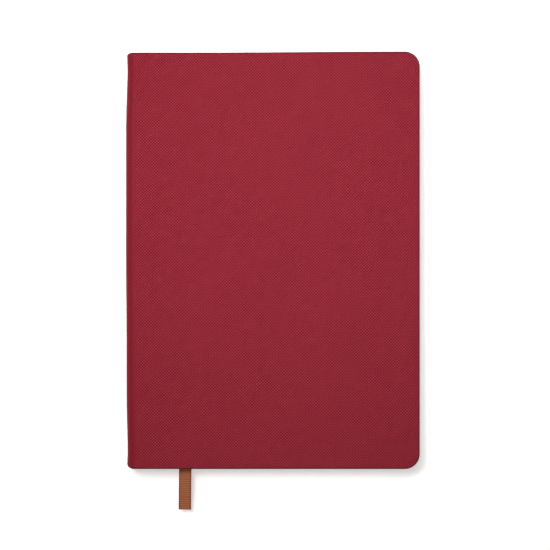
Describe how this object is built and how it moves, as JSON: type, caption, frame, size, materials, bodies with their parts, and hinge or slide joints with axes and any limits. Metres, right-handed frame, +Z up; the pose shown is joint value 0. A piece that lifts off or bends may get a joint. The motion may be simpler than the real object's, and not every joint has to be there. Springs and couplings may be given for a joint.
{
  "type": "notebook",
  "caption": "Case-bound notebook with a grained leatherette cover, rounded spine, round fore-edge corners, sewn signatures and a free ribbon marker at the foot.",
  "frame": {"origin": "middle of the back cover's outer face, on the surface that the closed notebook lies on", "axes": "+X from the spine to the fore edge, +Y to the head, +Z up through the front cover"},
  "size_m": [0.148, 0.2313, 0.014],
  "materials": {
    "cover_leatherette": "matte",
    "grey_board": "matte",
    "endpaper": "matte",
    "page_paper": "matte",
    "gauze": "matte",
    "binding_glue": "satin",
    "thread": "matte",
    "end_band": "satin",
    "ribbon": "satin"
  },
  "bodies": {
    "back_cover": {"back_skin": "cover_leatherette", "back_board": "grey_board", "back_pastedown": "endpaper"},
    "spine": {"spine_skin": "cover_leatherette", "spine_stiffener": "grey_board", "spine_gauze": "gauze", "spine_glue": "binding_glue", "sewing_thread": "thread", "headband": "end_band", "tailband": "end_band", "ribbon_anchor": "ribbon", "signature_01_fold": "page_paper", "signature_02_fold": "page_paper", "signature_03_fold": "page_paper", "signature_04_fold": "page_paper", "signature_05_fold": "page_paper", "signature_06_fold": "page_paper", "signature_07_fold": "page_paper", "signature_08_fold": "page_paper", "signature_09_fold": "page_paper", "signature_10_fold": "page_paper"},
    "signature_01": {"signature_01_leaves": "page_paper"},
    "signature_02": {"signature_02_leaves": "page_paper"},
    "signature_03": {"signature_03_leaves": "page_paper"},
    "signature_04": {"signature_04_leaves": "page_paper"},
    "signature_05": {"signature_05_leaves": "page_paper"},
    "signature_06": {"signature_06_leaves": "page_paper", "ribbon": "ribbon"},
    "signature_07": {"signature_07_leaves": "page_paper"},
    "signature_08": {"signature_08_leaves": "page_paper"},
    "signature_09": {"signature_09_leaves": "page_paper"},
    "signature_10": {"signature_10_leaves": "page_paper", "back_flyleaf": "endpaper"},
    "front_flyleaf": {"front_flyleaf": "endpaper"},
    "front_cover": {"front_skin": "cover_leatherette", "front_board": "grey_board", "front_pastedown": "endpaper"}
  },
  "joints": [
    {"name": "middle_opening", "type": "hinge", "parent": "back_cover", "child": "spine", "pos_m": [-0.074, 0, -0.0002], "axis": [0, -1, 0], "range_deg": [0, 90]},
    {"name": "signature_01_turn", "type": "hinge", "parent": "spine", "child": "signature_01", "pos_m": [-0.074, 0, 0.0142], "axis": [0, -1, 0], "range_deg": [0, 90]},
    {"name": "signature_02_turn", "type": "hinge", "parent": "spine", "child": "signature_02", "pos_m": [-0.074, 0, 0.0142], "axis": [0, -1, 0], "range_deg": [0, 90]},
    {"name": "signature_03_turn", "type": "hinge", "parent": "spine", "child": "signature_03", "pos_m": [-0.074, 0, 0.0142], "axis": [0, -1, 0], "range_deg": [0, 90]},
    {"name": "signature_04_turn", "type": "hinge", "parent": "spine", "child": "signature_04", "pos_m": [-0.074, 0, 0.0142], "axis": [0, -1, 0], "range_deg": [0, 90]},
    {"name": "signature_05_turn", "type": "hinge", "parent": "spine", "child": "signature_05", "pos_m": [-0.074, 0, 0.0142], "axis": [0, -1, 0], "range_deg": [0, 90]},
    {"name": "signature_06_turn", "type": "hinge", "parent": "spine", "child": "signature_06", "pos_m": [-0.074, 0, -0.0002], "axis": [0, 1, 0], "range_deg": [0, 90]},
    {"name": "signature_07_turn", "type": "hinge", "parent": "spine", "child": "signature_07", "pos_m": [-0.074, 0, -0.0002], "axis": [0, 1, 0], "range_deg": [0, 90]},
    {"name": "signature_08_turn", "type": "hinge", "parent": "spine", "child": "signature_08", "pos_m": [-0.074, 0, -0.0002], "axis": [0, 1, 0], "range_deg": [0, 90]},
    {"name": "signature_09_turn", "type": "hinge", "parent": "spine", "child": "signature_09", "pos_m": [-0.074, 0, -0.0002], "axis": [0, 1, 0], "range_deg": [0, 90]},
    {"name": "signature_10_turn", "type": "hinge", "parent": "spine", "child": "signature_10", "pos_m": [-0.074, 0, -0.0002], "axis": [0, 1, 0], "range_deg": [0, 90]},
    {"name": "front_cover_hinge", "type": "hinge", "parent": "signature_01", "child": "front_cover", "pos_m": [-0.0699, 0, 0.0142], "axis": [0, 1, 0], "range_deg": [-180, 0]},
    {"name": "front_flyleaf_turn", "type": "hinge", "parent": "signature_01", "child": "front_flyleaf", "pos_m": [-0.0691, 0, 0.01128], "axis": [0, 1, 0], "range_deg": [-20, 0]}
  ],
  "couplings": [
    {"joint": "signature_01_turn", "follows": "middle_opening", "ratio": 1},
    {"joint": "signature_02_turn", "follows": "middle_opening", "ratio": 0.985},
    {"joint": "signature_03_turn", "follows": "middle_opening", "ratio": 0.97},
    {"joint": "signature_04_turn", "follows": "middle_opening", "ratio": 0.955},
    {"joint": "signature_05_turn", "follows": "middle_opening", "ratio": 0.94},
    {"joint": "signature_06_turn", "follows": "middle_opening", "ratio": 0.94},
    {"joint": "signature_07_turn", "follows": "middle_opening", "ratio": 0.955},
    {"joint": "signature_08_turn", "follows": "middle_opening", "ratio": 0.97},
    {"joint": "signature_09_turn", "follows": "middle_opening", "ratio": 0.985},
    {"joint": "signature_10_turn", "follows": "middle_opening", "ratio": 1},
    {"joint": "front_flyleaf_turn", "follows": "front_cover_hinge", "ratio": 0.08}
  ]
}
